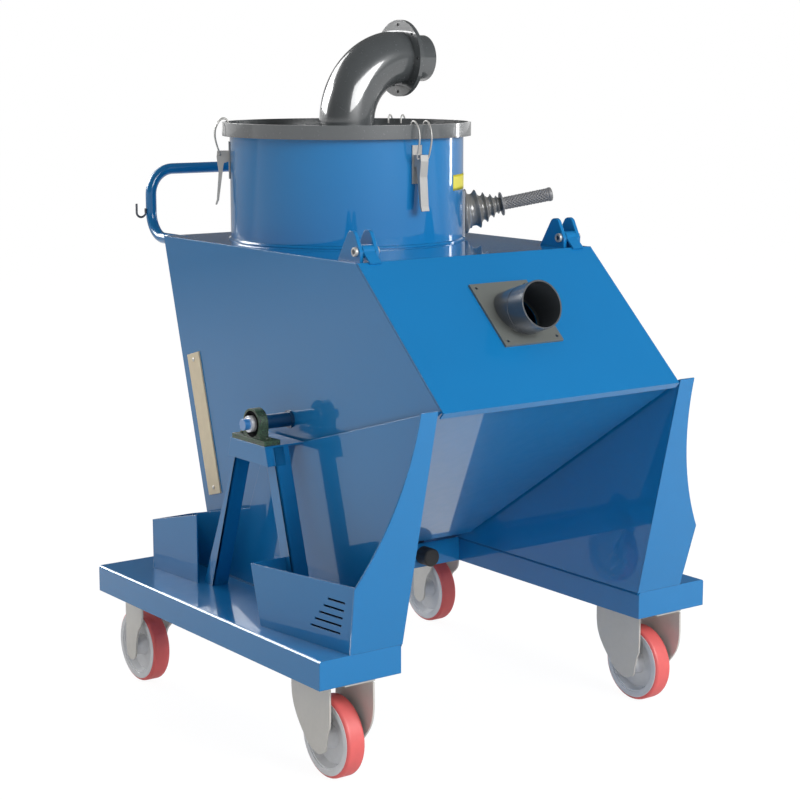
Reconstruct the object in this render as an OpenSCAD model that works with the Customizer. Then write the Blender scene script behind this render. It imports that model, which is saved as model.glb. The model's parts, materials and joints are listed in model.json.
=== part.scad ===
// Mobile cyclone separator on a tipping hopper, millimetres, +Z up, front towards -Y.
// The origin lies on the floor, midway between the flap's lip and the back of the push handle.

/* [Chassis] */
// Clear width between the inner faces of the two side trays
bay_w = 762; // [700:1:820]
// Width of each side tray
tray_w = 232; // [200:1:260]
// Length of each side tray, front to back
tray_len = 1077; // [1040:1:1120]
// Distance of the trays' front edge ahead of the origin
tray_front = 569; // [550:1:580]
// Height of the tray deck above the floor
deck_z = 334; // [325:1:345]
// Depth of the folded tray skirt
skirt_h = 70; // [50:1:75]
// Thickness of the chassis sheet
sheet = 4; // [3:0.5:5]
// Outer radius of the folds along the tray edges
fold_r = 7; // [6:0.5:12]
// Depth of the cross beam that joins the trays, front to back
beam_depth = 80; // [60:1:100]
// Distance of the cross beam's front face behind the origin
beam_front = 186; // [176:1:196]

/* [Side frames] */
// Height of the front post's tip above the floor
post_top_z = 911; // [890:1:925]
// Distance that the tip leans ahead of the post's foot
post_lean = 136; // [110:1:145]
// Width of the front post at its tip
post_tip_w = 48; // [36:1:60]
// Width of the front post at the pocket's rim
post_rim_w = 165; // [150:1:176]
// Width of the front post at its foot
post_foot_w = 150; // [135:1:160]
// Height of the front pocket's wall
pocket_h = 165; // [140:1:185]
// Length of the front pocket along its foot
pocket_len = 325; // [300:1:345]
// Distance that the front pocket's back end stands wider than its front end
pocket_flare = 38; // [20:1:46]
// Height of the rear pocket's wall
rear_pocket_h = 135; // [120:1:160]
// Distance of the rear pocket's end wall ahead of the trays' back edge
rear_pocket_inset = 110; // [100:1:140]
// Length of the rear pocket
rear_pocket_len = 208; // [180:1:215]
// Width of the rear pocket at its end wall
rear_pocket_w = 124; // [105:1:150]
// Distance that the rear pocket narrows towards the front
rear_pocket_taper = 16; // [8:1:40]
// Number of vent slots in each front pocket
slot_n = 5; // [3:1:6]
// Height of a vent slot
slot_h = 5; // [4:0.5:7]
// Spacing of the vent slots
slot_pitch = 19; // [15:1:21]
// Length of the lowest vent slot
slot_low_len = 106; // [80:1:120]
// Length of the highest vent slot
slot_top_len = 61; // [45:1:70]

/* [Pivot] */
// Distance of the tipping axis ahead of the origin
pivot_front = 75; // [65:1:85]
// Height of the tipping axis above the floor
pivot_z = 800; // [785:1:815]
// Diameter of the trunnion shaft
shaft_d = 29; // [26:1:36]
// Height of the axis above the bearing seat
bearing_h = 45; // [44:1:56]
// Outer diameter of the bearing's inner ring
ring_d = 41; // [39:1:48]
// Length of the pillow block's foot
block_len = 152; // [130:1:158]
// Width of the pillow block's foot
block_w = 46; // [38:1:50]
// Length of the bearing seat along the tray
seat_len = 162; // [158:1:180]
// Width of the bearing seat out from the side panel
seat_w = 112; // [100:1:120]
// Depth of the seat's folded edge
seat_skirt = 48; // [35:1:55]
// Spread of the stand's legs at the deck
leg_spread = 417; // [380:1:430]
// Width of a stand leg's outer flange
leg_flange = 44; // [30:1:50]

/* [Casters] */
// Diameter of the wheels
wheel_d = 200; // [180:1:210]
// Width of the tyre
tyre_w = 50; // [40:1:56]
// Thickness of the tyre's tread
tyre_t = 17; // [12:1:22]
// Distance of the front axles behind the trays' front edge
front_axle_set = 118; // [90:1:130]
// Distance of the rear axles ahead of the trays' back edge
rear_axle_set = 32; // [28:1:60]
// Distance of the wheels' middle outside the bay's side
wheel_set = 114; // [107:1:119]
// Diameter of the wheel axle
axle_d = 20; // [14:1:24]
// Clear width inside the caster fork
fork_gap = 76; // [72:1:88]
// Thickness of the caster fork
fork_t = 5; // [4:0.5:7]

/* [Hopper] */
// Running gap between the hopper and each side panel
side_gap = 10; // [8:1:14]
// Thickness of the hopper plate
wall = 4; // [3:0.5:5]
// Height of the hopper's top deck above the floor
top_z = 1217; // [1200:1:1235]
// Distance of the deck's front edge ahead of the origin
top_front = 368; // [355:1:380]
// Distance of the deck's back edge behind the origin
top_back = 550; // [535:1:560]
// Distance of the mouth's lower edge ahead of the origin
mouth_front = 704; // [690:1:708]
// Height of the mouth's lower edge
mouth_z = 906; // [890:1:920]
// Height of the hopper's floor
floor_z = 362; // [355:1:372]
// Front edge of the hopper's floor, behind the origin
floor_front = 119; // [105:1:130]
// Back edge of the hopper's floor, behind the origin
floor_back = 310; // [280:1:330]
// Width of the rest pads on the cross beam
pad_w = 60; // [40:1:70]
// Distance of the rest pads inside the bay's side
pad_set = 120; // [90:1:150]
// Length of the level strip
strip_len = 385; // [320:1:420]
// Width of the level strip
strip_w = 62; // [40:1:70]
// Thickness of the level strip
strip_t = 4; // [2:0.5:5]

/* [Drum] */
// Distance of the drum's side inside the hopper's side
drum_inset = 54; // [45:1:70]
// Gap between the drum's back and the deck's back edge
drum_back = 39; // [30:1:60]
// Height of the drum above the deck
drum_h = 283; // [265:1:300]
// Overhang of the lid's rim beyond the drum
rim_over = 20; // [16:1:26]
// Height of the lid's rim
rim_h = 36; // [30:1:40]
// Thickness of the lid's rim
rim_t = 8; // [5:1:10]

/* [Outlet] */
// Diameter of the outlet elbow
elbow_d = 148; // [130:1:156]
// Bend radius of the elbow
elbow_r = 170; // [160:1:190]
// Diameter of the outlet flange
flange_d = 205; // [190:1:220]
// Thickness of each outlet flange
flange_t = 6; // [4:1:8]
// Diameter of the outlet spigot
outlet_d = 124; // [110:1:132]
// Length of the outlet spigot
outlet_len = 72; // [50:1:90]
// Wall of the ducts
duct_t = 4; // [3:0.5:5]
// Number of flange bolts
bolt_n = 8; // [6:1:10]

/* [Inlet] */
// Diameter of the inlet spigot
inlet_d = 120; // [100:1:126]
// Length of the inlet spigot from its plate's middle
inlet_len = 104; // [90:1:115]
// Upward tilt of the inlet spigot
inlet_tilt = 18.5; // [14:0.5:22]
// Width of the inlet plate
inlet_plate_w = 180; // [172:1:200]
// Height of the inlet plate along the flap
inlet_plate_h = 196; // [186:1:210]
// Thickness of the inlet plate
inlet_plate_t = 6; // [4:1:8]

/* [Flap] */
// Thickness of the flap
flap_t = 4; // [3:0.5:6]
// Depth of the flap's folded lip
lip_h = 20; // [14:1:26]
// Height of the hinge pin above the deck
hinge_h = 24; // [22:1:28]
// Distance of the hinge pin behind the deck's front edge
hinge_set = 28; // [24:1:32]
// Diameter of the hinge pin
pin_d = 14; // [10:1:16]
// Distance of each hinge's middle inside the hopper's side
hinge_inset = 48; // [40:1:70]

/* [Handle and fittings] */
// Diameter of the push handle's tube
handle_d = 30; // [25:1:34]
// Distance of the handle's back behind the deck's back edge
handle_reach = 162; // [140:1:175]
// Height of the handle's bar above the deck
handle_rise = 173; // [156:1:190]
// Distance of each handle post's middle inside the hopper's side
handle_inset = 44; // [20:1:60]
// Bend radius of the handle
handle_r = 70; // [50:1:75]
// Length of the shaker's rubber boot
boot_len = 106; // [90:1:115]
// Diameter of the boot at its foot
boot_d = 112; // [100:1:118]
// Length of the shaker's grip
grip_len = 138; // [110:1:150]
// Diameter of the shaker's grip
grip_d = 34; // [28:1:38]
// Upward tilt of the shaker
shaker_tilt = 10.8; // [8:0.2:13]
// Height of the shaker's axis above the deck
shaker_h = 68; // [64:1:80]
// Width of a clip's lever
clip_w = 24; // [18:1:30]
// Diameter of a clip's wire
wire_d = 5; // [4:0.5:6]

/* [Hidden] */
$fn = 48;
// Clearances: running fit on pins, parts that lie against each other, a cut's overshoot
run_fit = 0.05;
seat_fit = 0.3;
over = 5;

bay_x = bay_w / 2;
hopper_x = bay_x - sheet - side_gap;
hopper_in_x = hopper_x - wall;
skirt_z = deck_z - skirt_h;
tray_y = -tray_front;
tray_back = tray_y + tray_len;

lean = atan(post_lean / (post_top_z - deck_z));
// Depth of the post's plane at height z, moved back by off
function post_y(z, off) = tray_y + off / cos(lean) - (z - deck_z) * tan(lean);
post_h = (post_top_z - deck_z) / cos(lean);
post_in_x = bay_x - sheet;

pivot_y = -pivot_front;
seat_z = pivot_z - bearing_h;
block_x = bay_x + seat_w - block_w / 2 - 2;
seat_y = pivot_y - seat_len / 2;
leg_inset = 23;
leg_x = bay_x + seat_w - leg_inset;

axle_z = wheel_d / 2;
wheel_x = bay_x + wheel_set;
hub_r = 26;
rim_r = wheel_d / 2 - tyre_t;
fork_top_t = 6;
// Reach of the front and rear forks ahead of their axles and behind them
fork_ahead = [64, 75];
fork_behind = [121, rear_axle_set - 6];
fork_tip_r = 26;
fork_taper = 52;

hopper_a = [-top_front, top_z];
hopper_b = [-mouth_front, mouth_z];
hopper_c = [floor_front, floor_z];
hopper_d = [floor_back, floor_z];
hopper_e = [top_back, top_z];
hopper_side = [hopper_a, hopper_b, hopper_c, hopper_d, hopper_e];
flap_tilt = atan((top_z - mouth_z) / (mouth_front - top_front));
flap_len = norm(hopper_a - hopper_b);
inlet_at = -flap_len * 0.436;
flap_gap = 1;
hinge_x = hopper_x - hinge_inset;
hinge_y = -top_front + hinge_set;
hinge_z = top_z + hinge_h;

drum_r = hopper_x - drum_inset;
drum_y = top_back - drum_back - drum_r;
drum_top_z = top_z + drum_h;
drum_t = 3;
lid_t = 4;
rim_r_out = drum_r + rim_over;
rim_drop = 7;
lid_z = drum_top_z + lid_t;
elbow_rise = 22;
elbow_z = lid_z + elbow_rise;
outlet_z = elbow_z + elbow_r;
flange_bolt_d = 9;
flange_pcd = flange_d - 26;
clip_angles = [270, 30, 150];

handle_bar_r = handle_d / 2;
handle_y = top_back + handle_reach - handle_bar_r;
handle_z = top_z + handle_rise;
handle_x = hopper_x - handle_inset;
handle_foot_z = top_z - 14;
shaker_angle = -30;
shaker_z = top_z + shaker_h;
saddle_out = 18;
rod_r = 8;
boot_t = 3;
boot_tip_r = 24;
boot_ribs = 5;

// Left normal of the edge from p to q, and the corner moved inwards by d
function normal(p, q) = [p.y - q.y, q.x - p.x] / norm(q - p);
function inset(p, q, r, d) = q + d * (normal(p, q) + normal(q, r)) / (1 + normal(p, q) * normal(q, r));
function arc(c, r, a0, a1, n) = [for (i = [0 : n]) c + r * [cos(a0 + (a1 - a0) * i / n),
    sin(a0 + (a1 - a0) * i / n)]];

// An outline in depth and height, drawn as a plate from x0 outwards
module side_plate(x0, t, pts) {
    translate([x0, 0, 0]) rotate([90, 0, 90]) linear_extrude(t) polygon(pts);
}

module pair() {
    children();
    mirror([1, 0, 0]) children();
}

module left() {
    mirror([1, 0, 0]) children();
}

// Side tray: a folded channel with closed ends and a pad over each caster
module tray() {
    channel = concat(
        [[0, 0]],
        arc([fold_r, skirt_h - fold_r], fold_r, 180, 90, 6),
        arc([tray_w - fold_r, skirt_h - fold_r], fold_r, 90, 0, 6),
        [[tray_w, 0], [tray_w - sheet, 0]],
        arc([tray_w - fold_r, skirt_h - fold_r], fold_r - sheet, 0, 90, 4),
        arc([fold_r, skirt_h - fold_r], fold_r - sheet, 90, 180, 4),
        [[sheet, 0]]);
    filled = concat(
        [[0, 0]],
        arc([fold_r, skirt_h - fold_r], fold_r, 180, 90, 6),
        arc([tray_w - fold_r, skirt_h - fold_r], fold_r, 90, 0, 6),
        [[tray_w, 0]]);
    pad_t = 8;
    translate([bay_x, 0, skirt_z]) {
        translate([0, tray_back, 0]) rotate([90, 0, 0]) linear_extrude(tray_len) polygon(channel);
        for (y = [tray_y + sheet, tray_back])
            translate([0, y, 0]) rotate([90, 0, 0]) linear_extrude(sheet) polygon(filled);
        for (end = [0, 1])
            translate([sheet / 2, axle_y(end) - fork_ahead[end], 0])
                cube([tray_w - sheet, fork_ahead[end] + fork_behind[end], pad_t]);
    }
}

// Depth of an axle, for the front end 0 and the back end 1
function axle_y(end) = end == 0 ? tray_y + front_axle_set : tray_back - rear_axle_set;

module right_tray() { color("royalblue") tray(); }
module left_tray() { color("royalblue") left() tray(); }

// Cross beam between the trays, a rectangular tube
module cross_beam() {
    color("royalblue") translate([-bay_x, beam_front, skirt_z]) difference() {
        cube([bay_w, beam_depth, skirt_h]);
        translate([-over, sheet, sheet])
            cube([bay_w + 2 * over, beam_depth - 2 * sheet, skirt_h - 2 * sheet]);
    }
}

// Rubber pads on the beam that the hopper's floor rests on
module rest_pads() {
    color("dimgray") pair()
        translate([bay_x - pad_set - pad_w, beam_front + (beam_depth - pad_w) / 2, deck_z])
        cube([pad_w, pad_w, floor_z - deck_z - seat_fit]);
}

// Round rubber buffers on the beam's front face
module buffers() {
    buffer_d = skirt_h * 0.74;
    buffer_len = 45;
    buffer_set = 131;
    edge = 4;
    color("black") pair() translate([bay_x - buffer_set, beam_front, skirt_z + skirt_h / 2])
        rotate([90, 0, 0]) {
        cylinder(d = buffer_d, h = buffer_len - edge);
        translate([0, 0, buffer_len - edge]) cylinder(d1 = buffer_d, d2 = buffer_d - 1.5 * edge, h = edge);
    }
}

// Upright panel along the tray's inner edge, with its top running up to the post's tip
module side_panel() {
    low_z = deck_z + rear_pocket_h;
    back_y = tray_back - rear_pocket_inset;
    gusset = 95;
    side_plate(post_in_x, sheet, [
        [post_y(deck_z, sheet), deck_z],
        [back_y, deck_z],
        [back_y, low_z],
        [seat_y + seat_len + gusset, low_z + (back_y - seat_y - seat_len - gusset) * tan(lean)],
        [seat_y + seat_len, seat_z],
        [seat_y, seat_z],
        [post_y(post_top_z, sheet), post_top_z]]);
}

module right_side_panel() { color("royalblue") side_panel(); }
module left_side_panel() { color("royalblue") left() side_panel(); }

// Front post: a plate that leans forwards, with a concave outer edge that sweeps into the pocket's rim
module front_post() {
    rim_s = pocket_h / cos(lean);
    sweep_h = post_h - rim_s;
    sweep_w = post_rim_w - post_tip_w;
    sweep_r = (sweep_h * sweep_h + sweep_w * sweep_w) / (2 * sweep_w);
    sweep_a = asin(sweep_h / sweep_r);
    translate([post_in_x, tray_y + sheet * cos(lean), deck_z + sheet * sin(lean)]) rotate([90 + lean, 0, 0])
        linear_extrude(sheet) polygon(concat(
            [[0, 0], [post_foot_w, 0]],
            arc([post_tip_w + sweep_r, post_h], sweep_r, 180 + sweep_a, 180, 18),
            [[0, post_h]]));
}

module right_front_post() { color("royalblue") front_post(); }
module left_front_post() { color("royalblue") left() front_post(); }

// Front pocket: an outer wall with vent slots and a back wall that leans to the rear
module front_pocket() {
    foot_y = post_y(deck_z, sheet);
    turn = atan(pocket_flare / pocket_len);
    wall_len = pocket_len / cos(turn);
    tip = pocket_h * tan(lean) / cos(turn);
    front_x = post_in_x + post_foot_w - sheet;
    slot_low_z = 42;
    slot_front = 42;
    front_gap = sheet * tan(turn);
    pocket_fall = 15;
    back_x = leg_x + seat_fit;
    difference() {
        union() {
            translate([front_x, foot_y, deck_z]) rotate([0, 0, -turn])
                side_plate(0, sheet, [[front_gap, 0], [wall_len, 0],
                    [wall_len + tip - pocket_fall * tan(lean), pocket_h - pocket_fall],
                    [front_gap - tip, pocket_h]]);
            translate([back_x, foot_y + pocket_len, deck_z]) rotate([90 - lean, 0, 0])
                linear_extrude(sheet) square([front_x + pocket_flare - back_x + sheet / 2,
                    (pocket_h - pocket_fall) / cos(lean)]);
        }
        translate([front_x, foot_y, deck_z]) rotate([0, 0, -turn])
            for (i = [0 : slot_n - 1]) {
                z = slot_low_z + i * slot_pitch;
                len = slot_low_len + (slot_top_len - slot_low_len) * i / (slot_n - 1);
                translate([-over, slot_front - z * tan(lean), z]) cube([sheet + 2 * over, len, slot_h]);
            }
        translate([0, 0, deck_z - over]) cube([2 * bay_w, 2 * tray_len, 2 * over], center = true);
    }
}

module right_front_pocket() { color("royalblue") front_pocket(); }
module left_front_pocket() { color("royalblue") left() front_pocket(); }

// Rear pocket: an end wall and an outer wall whose rim rises towards the stand
module rear_pocket() {
    back_y = tray_back - rear_pocket_inset;
    turn = atan(rear_pocket_taper / rear_pocket_len);
    translate([bay_x, back_y - sheet, deck_z]) cube([rear_pocket_w, sheet, rear_pocket_h]);
    front_h = rear_pocket_h + rear_pocket_len * tan(lean);
    translate([bay_x + rear_pocket_w - sheet, back_y, deck_z]) rotate([0, 0, -turn])
        side_plate(0, sheet, [[0, 0], [-rear_pocket_len, 0], [-rear_pocket_len, front_h], [0,
            rear_pocket_h]]);
}

module right_rear_pocket() { color("royalblue") rear_pocket(); }
module left_rear_pocket() { color("royalblue") left() rear_pocket(); }

// Bearing stand: a folded seat on two angle-iron legs that spread towards the deck
module bearing_stand() {
    leg_top_z = seat_z - seat_skirt;
    foot_y = pivot_y + 10;
    leg_h = seat_z - sheet - deck_z;
    function low_y(end) = foot_y + end * leg_spread / 2;
    function top_y(end) = end < 0 ? seat_y : seat_y + seat_len - sheet;
    function fold_y(end) = low_y(end) + (top_y(end) - low_y(end)) * (leg_top_z - deck_z) / leg_h;
    translate([bay_x, seat_y, seat_z - sheet]) cube([seat_w, seat_len, sheet]);
    side_plate(bay_x + seat_w - sheet, sheet, [[fold_y(-1), leg_top_z], [fold_y(1) + sheet, leg_top_z],
        [seat_y + seat_len, seat_z], [seat_y, seat_z]]);
    for (end = [-1, 1]) {
        flange_top = end < 0 ? leg_flange : sheet;
        side_plate(bay_x, seat_w, [[fold_y(end), leg_top_z], [fold_y(end) + sheet, leg_top_z],
            [top_y(end) + sheet, seat_z - sheet], [top_y(end), seat_z - sheet]]);
        side_plate(bay_x, leg_x - bay_x, [[low_y(end), deck_z], [low_y(end) + sheet, deck_z],
            [top_y(end) + sheet, seat_z - sheet], [top_y(end), seat_z - sheet]]);
        side_plate(leg_x - sheet, sheet, [[low_y(end), deck_z], [low_y(end) + leg_flange, deck_z],
            [top_y(end) + flange_top, seat_z - sheet], [top_y(end), seat_z - sheet]]);
    }
}

module right_bearing_stand() { color("royalblue") bearing_stand(); }
module left_bearing_stand() { color("royalblue") left() bearing_stand(); }

// Pillow block: a cast foot with a round-topped housing, bored for the bearing's inner ring
module pillow_block() {
    foot_h = 12;
    house_w = block_w - 20;
    web_r = ring_d / 2 + 18;
    seal_w = 9;
    recess = 5;
    difference() {
        union() {
            translate([block_x - block_w / 2, pivot_y - block_len / 2, seat_z])
                cube([block_w, block_len, foot_h]);
            side_plate(block_x - house_w / 2, house_w, [
                [pivot_y - web_r, seat_z], [pivot_y + web_r, seat_z],
                [pivot_y + web_r, pivot_z], [pivot_y - web_r, pivot_z]]);
            translate([block_x - house_w / 2, pivot_y, pivot_z]) rotate([0, 90, 0])
                cylinder(r = web_r, h = house_w);
        }
        translate([block_x - block_w, pivot_y, pivot_z]) rotate([0, 90, 0])
            cylinder(d = ring_d + 2 * run_fit, h = 2 * block_w);
        translate([block_x + house_w / 2 - recess, pivot_y, pivot_z]) rotate([0, 90, 0])
            cylinder(d = ring_d + 2 * seal_w, h = block_w);
    }
}

module right_pillow_block() { color("darkolivegreen") pillow_block(); }
module left_pillow_block() { color("darkolivegreen") left() pillow_block(); }

// Trunnion: a shaft on the hopper's side, with a boss and the bearing's inner ring
module trunnion() {
    boss_t = 6;
    boss_r = shaft_d / 2 + 8;
    sleeve_r = shaft_d / 2 + 4;
    ring_x = block_x - block_w / 2;
    ring_end = block_x + block_w / 2;
    shaft_end = ring_end + 16;
    translate([hopper_x, pivot_y, pivot_z]) rotate([0, 90, 0]) {
        cylinder(d = shaft_d, h = shaft_end - hopper_x);
        cylinder(r = boss_r, h = boss_t);
        cylinder(r = sleeve_r, h = ring_x - hopper_x);
    }
    translate([ring_x, pivot_y, pivot_z]) rotate([0, 90, 0]) cylinder(d = ring_d, h = ring_end - ring_x);
}

module right_trunnion() { color("lightgray") trunnion(); }
module left_trunnion() { color("lightgray") left() trunnion(); }

// Caster fork with its axle: side 1 right or -1 left, end 0 front or 1 back
module fork(side, end) {
    top = skirt_z - fork_top_t - axle_z;
    ahead = fork_ahead[end];
    behind = fork_behind[end];
    leg = [[-ahead, top], [-ahead, fork_taper], [-fork_tip_r, 0], [0, -fork_tip_r / 2], [fork_tip_r, 0],
        [behind, fork_taper], [behind, top]];
    half = fork_gap / 2;
    head_d = 15;
    head_h = 5;
    translate([side * wheel_x, axle_y(end), axle_z]) {
        for (s = [-1, 1]) {
            translate([s * (half + fork_t / 2) - fork_t / 2, 0, 0]) {
                side_plate(0, fork_t, leg);
                rotate([0, 90, 0]) cylinder(r = fork_tip_r, h = fork_t);
            }
            translate([s * (half + fork_t), 0, 0]) rotate([0, s * 90, 0])
                cylinder(d = head_d, h = head_h, $fn = 6);
        }
        translate([-half - fork_t, 0, 0]) rotate([0, 90, 0])
            cylinder(d = axle_d, h = fork_gap + 2 * fork_t);
        translate([-half - fork_t, -ahead, top]) cube([fork_gap + 2 * fork_t, ahead + behind, fork_top_t]);
    }
}

module front_left_fork() { color("gainsboro") fork(-1, 0); }
module front_right_fork() { color("gainsboro") fork(1, 0); }
module rear_left_fork() { color("gainsboro") fork(-1, 1); }
module rear_right_fork() { color("gainsboro") fork(1, 1); }

module on_axle(side, end) {
    translate([side * wheel_x, axle_y(end), axle_z]) rotate([0, 90, 0]) children();
}

// Wheel centre: a hub on a thin web inside a round rim
module rim(side, end) {
    web = 5;
    ring_t = 9;
    half = tyre_w / 2 - 2;
    hub_half = fork_gap / 2 - 2;
    on_axle(side, end) rotate_extrude() polygon([
        [axle_d / 2 + run_fit, -hub_half], [hub_r - 6, -hub_half], [hub_r, -half], [hub_r + 4, -web],
        [rim_r - ring_t - 6, -web], [rim_r - ring_t, -half], [rim_r, -half],
        [rim_r, half], [rim_r - ring_t, half], [rim_r - ring_t - 6, web],
        [hub_r + 4, web], [hub_r, half], [hub_r - 6, hub_half], [axle_d / 2 + run_fit, hub_half]]);
}

module front_left_rim() { color("whitesmoke") rim(-1, 0); }
module front_right_rim() { color("whitesmoke") rim(1, 0); }
module rear_left_rim() { color("whitesmoke") rim(-1, 1); }
module rear_right_rim() { color("whitesmoke") rim(1, 1); }

// Tyre: a moulded band with rounded shoulders
module tyre(side, end) {
    half = tyre_w / 2;
    shoulder = 9;
    r = wheel_d / 2;
    on_axle(side, end) rotate_extrude() polygon(concat(
        [[rim_r, -half]],
        arc([r - shoulder, -half + shoulder], shoulder, -90, 0, 5),
        arc([r - shoulder, half - shoulder], shoulder, 0, 90, 5),
        [[rim_r, half]]));
}

module front_left_tyre() { color("indianred") tyre(-1, 0); }
module front_right_tyre() { color("indianred") tyre(1, 0); }
module rear_left_tyre() { color("indianred") tyre(-1, 1); }
module rear_right_tyre() { color("indianred") tyre(1, 1); }

// Hopper plates, mitred along the folds; the side plates close their ends
module hopper_plate(o, p, q, r) {
    side_plate(-hopper_in_x, 2 * hopper_in_x, [p, q, inset(p, q, r, wall), inset(o, p, q, wall)]);
}

module hopper_left_side() { color("steelblue") side_plate(-hopper_x, wall, hopper_side); }
module hopper_right_side() { color("steelblue") side_plate(hopper_in_x, wall, hopper_side); }
module hopper_slope() { color("steelblue") hopper_plate(hopper_a, hopper_b, hopper_c, hopper_d); }
module hopper_floor() { color("steelblue") hopper_plate(hopper_b, hopper_c, hopper_d, hopper_e); }
module hopper_back() { color("steelblue") hopper_plate(hopper_c, hopper_d, hopper_e, hopper_a); }

// Top deck, open under the drum
module hopper_top() {
    color("steelblue") difference() {
        hopper_plate(hopper_d, hopper_e, hopper_a, hopper_b);
        translate([0, drum_y, top_z - 2 * wall]) cylinder(r = drum_r - drum_t, h = 3 * wall);
    }
}

module on_drum(z) {
    translate([0, drum_y, z]) children();
}

// Drum with a rolled bead at its foot
module drum() {
    bead = 6;
    color("steelblue") on_drum(top_z) rotate_extrude() polygon([
        [drum_r - drum_t, 0], [drum_r + bead, 0], [drum_r + bead, bead / 2], [drum_r, bead],
        [drum_r, drum_h], [drum_r - drum_t, drum_h]]);
}

// Lid: a dished plate inside a deep rim, open at its middle for the outlet
module drum_lid() {
    bore_r = elbow_d / 2 - duct_t;
    color("dimgray") on_drum(drum_top_z) rotate_extrude() polygon([
        [bore_r, 0], [drum_r + 2, 0], [drum_r + 2, -rim_drop], [rim_r_out, -rim_drop],
        [rim_r_out, rim_h - rim_drop], [rim_r_out - rim_t, rim_h - rim_drop], [rim_r_out - rim_t, lid_t],
        [bore_r, lid_t]]);
}

// Foot of the outlet: a short rise on the lid with a thin collar
module outlet_foot() {
    collar = 4;
    color("dimgray") on_drum(lid_z) {
        linear_extrude(elbow_rise) elbow_ring(elbow_d / 2);
        linear_extrude(collar) elbow_ring(elbow_d / 2 + collar);
    }
}

// An eighth of the bend from angle a, measured about the bend's middle
module outlet_bend(a) {
    translate([elbow_r, drum_y, elbow_z]) rotate([90, 0, 0]) rotate([0, 0, a])
        rotate_extrude(angle = 45) translate([elbow_r, 0]) elbow_ring(elbow_d / 2);
}

// Lower half of the outlet's bend
module outlet_elbow() { color("dimgray") outlet_bend(135); }

// Upper half of the bend, towards +X, with the flange on its end
module outlet_neck() {
    color("dimgray") difference() {
        union() {
            outlet_bend(90);
            translate([elbow_r, drum_y, outlet_z]) rotate([0, 90, 0])
                linear_extrude(flange_t) elbow_ring(flange_d / 2);
        }
        outlet_bolts();
    }
}

module elbow_ring(r) {
    difference() {
        circle(r = r);
        circle(r = elbow_d / 2 - duct_t);
    }
}

// A flange on the elbow's end, the n-th along the duct
module outlet_disc(n) {
    translate([elbow_r + n * flange_t, drum_y, outlet_z]) rotate([0, 90, 0])
        cylinder(d = flange_d, h = flange_t);
}

module outlet_bolts() {
    translate([elbow_r - over, drum_y, outlet_z]) rotate([0, 90, 0]) for (i = [0 : bolt_n - 1])
        rotate([0, 0, 360 * i / bolt_n]) translate([flange_pcd / 2, 0, 0])
            cylinder(d = flange_bolt_d, h = 2 * flange_t + 2 * over);
}

// Outlet spigot: a loose flange with a short tube for the suction hose
module outlet_spigot() {
    color("dimgray") difference() {
        union() {
            outlet_disc(1);
            translate([elbow_r + flange_t, drum_y, outlet_z]) rotate([0, 90, 0])
                cylinder(d = outlet_d, h = flange_t + outlet_len);
        }
        translate([elbow_r, drum_y, outlet_z]) rotate([0, 90, 0])
            cylinder(d = outlet_d - 2 * duct_t, h = 2 * flange_t + outlet_len + over);
        outlet_bolts();
    }
}

// Places its children at each clip, x outwards from the drum's axis, z up from the lid's rim top
module at_clips() {
    for (a = clip_angles) on_drum(drum_top_z + rim_h - rim_drop) rotate([0, 0, a]) children();
}

// Toggle clips: a base plate on the drum and a lever folded down over it, measured down from the rim's top
wire_x = rim_r_out + wire_d / 2 + 4;
bail_low = -86;
clip_top = -76;
lever_len = 142;
module drum_clips() {
    base_w = clip_w + 6;
    base_t = 3;
    base_h = 98;
    x0 = drum_r + seat_fit;
    x1 = x0 + base_t;
    tip = clip_top - lever_len;
    color("silver") at_clips() difference() {
        union() {
            translate([x0, -base_w / 2, clip_top + 24 - base_h]) cube([base_t, base_w, base_h]);
            rotate([90, 0, 0]) translate([0, 0, -clip_w / 2]) linear_extrude(clip_w) polygon([
                [x1, clip_top], [wire_x + 7, clip_top], [wire_x + 9, clip_top - 16], [wire_x + 4,
                    clip_top - 56],
                [wire_x + 10, tip + 12], [wire_x + 14, tip], [wire_x + 10, tip - 1], [wire_x + 4, tip + 12],
                [wire_x - 6, clip_top - 58], [wire_x - 10, clip_top - 32], [x1, clip_top - 28]]);
        }
        translate([wire_x, 0, bail_low]) rotate([90, 0, 0])
            cylinder(d = wire_d + 2 * seat_fit, h = 2 * clip_w, center = true);
    }
}

// Wire bails that hook over the lid's rim
module clip_bails() {
    half = clip_w / 2 + 7;
    hook_r = (wire_x - (rim_r_out - rim_t - wire_d / 2 - 2)) / 2;
    hook_drop = 14;
    rise = wire_d / 2 + 2;
    color("silver") at_clips() {
        for (s = [-1, 1]) translate([0, s * half, 0]) {
            translate([wire_x, 0, bail_low]) cylinder(d = wire_d, h = rise - bail_low);
            translate([wire_x - hook_r, 0, rise]) rotate([90, 0, 0])
                rotate_extrude(angle = 180) translate([hook_r, 0]) circle(d = wire_d);
            translate([wire_x - 2 * hook_r, 0, rise - hook_drop]) cylinder(d = wire_d, h = hook_drop);
        }
        translate([wire_x, 0, bail_low]) rotate([90, 0, 0])
            cylinder(d = wire_d, h = 2 * half, center = true);
        for (s = [-1, 1]) translate([wire_x, s * half, bail_low]) sphere(d = wire_d);
    }
}

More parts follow.
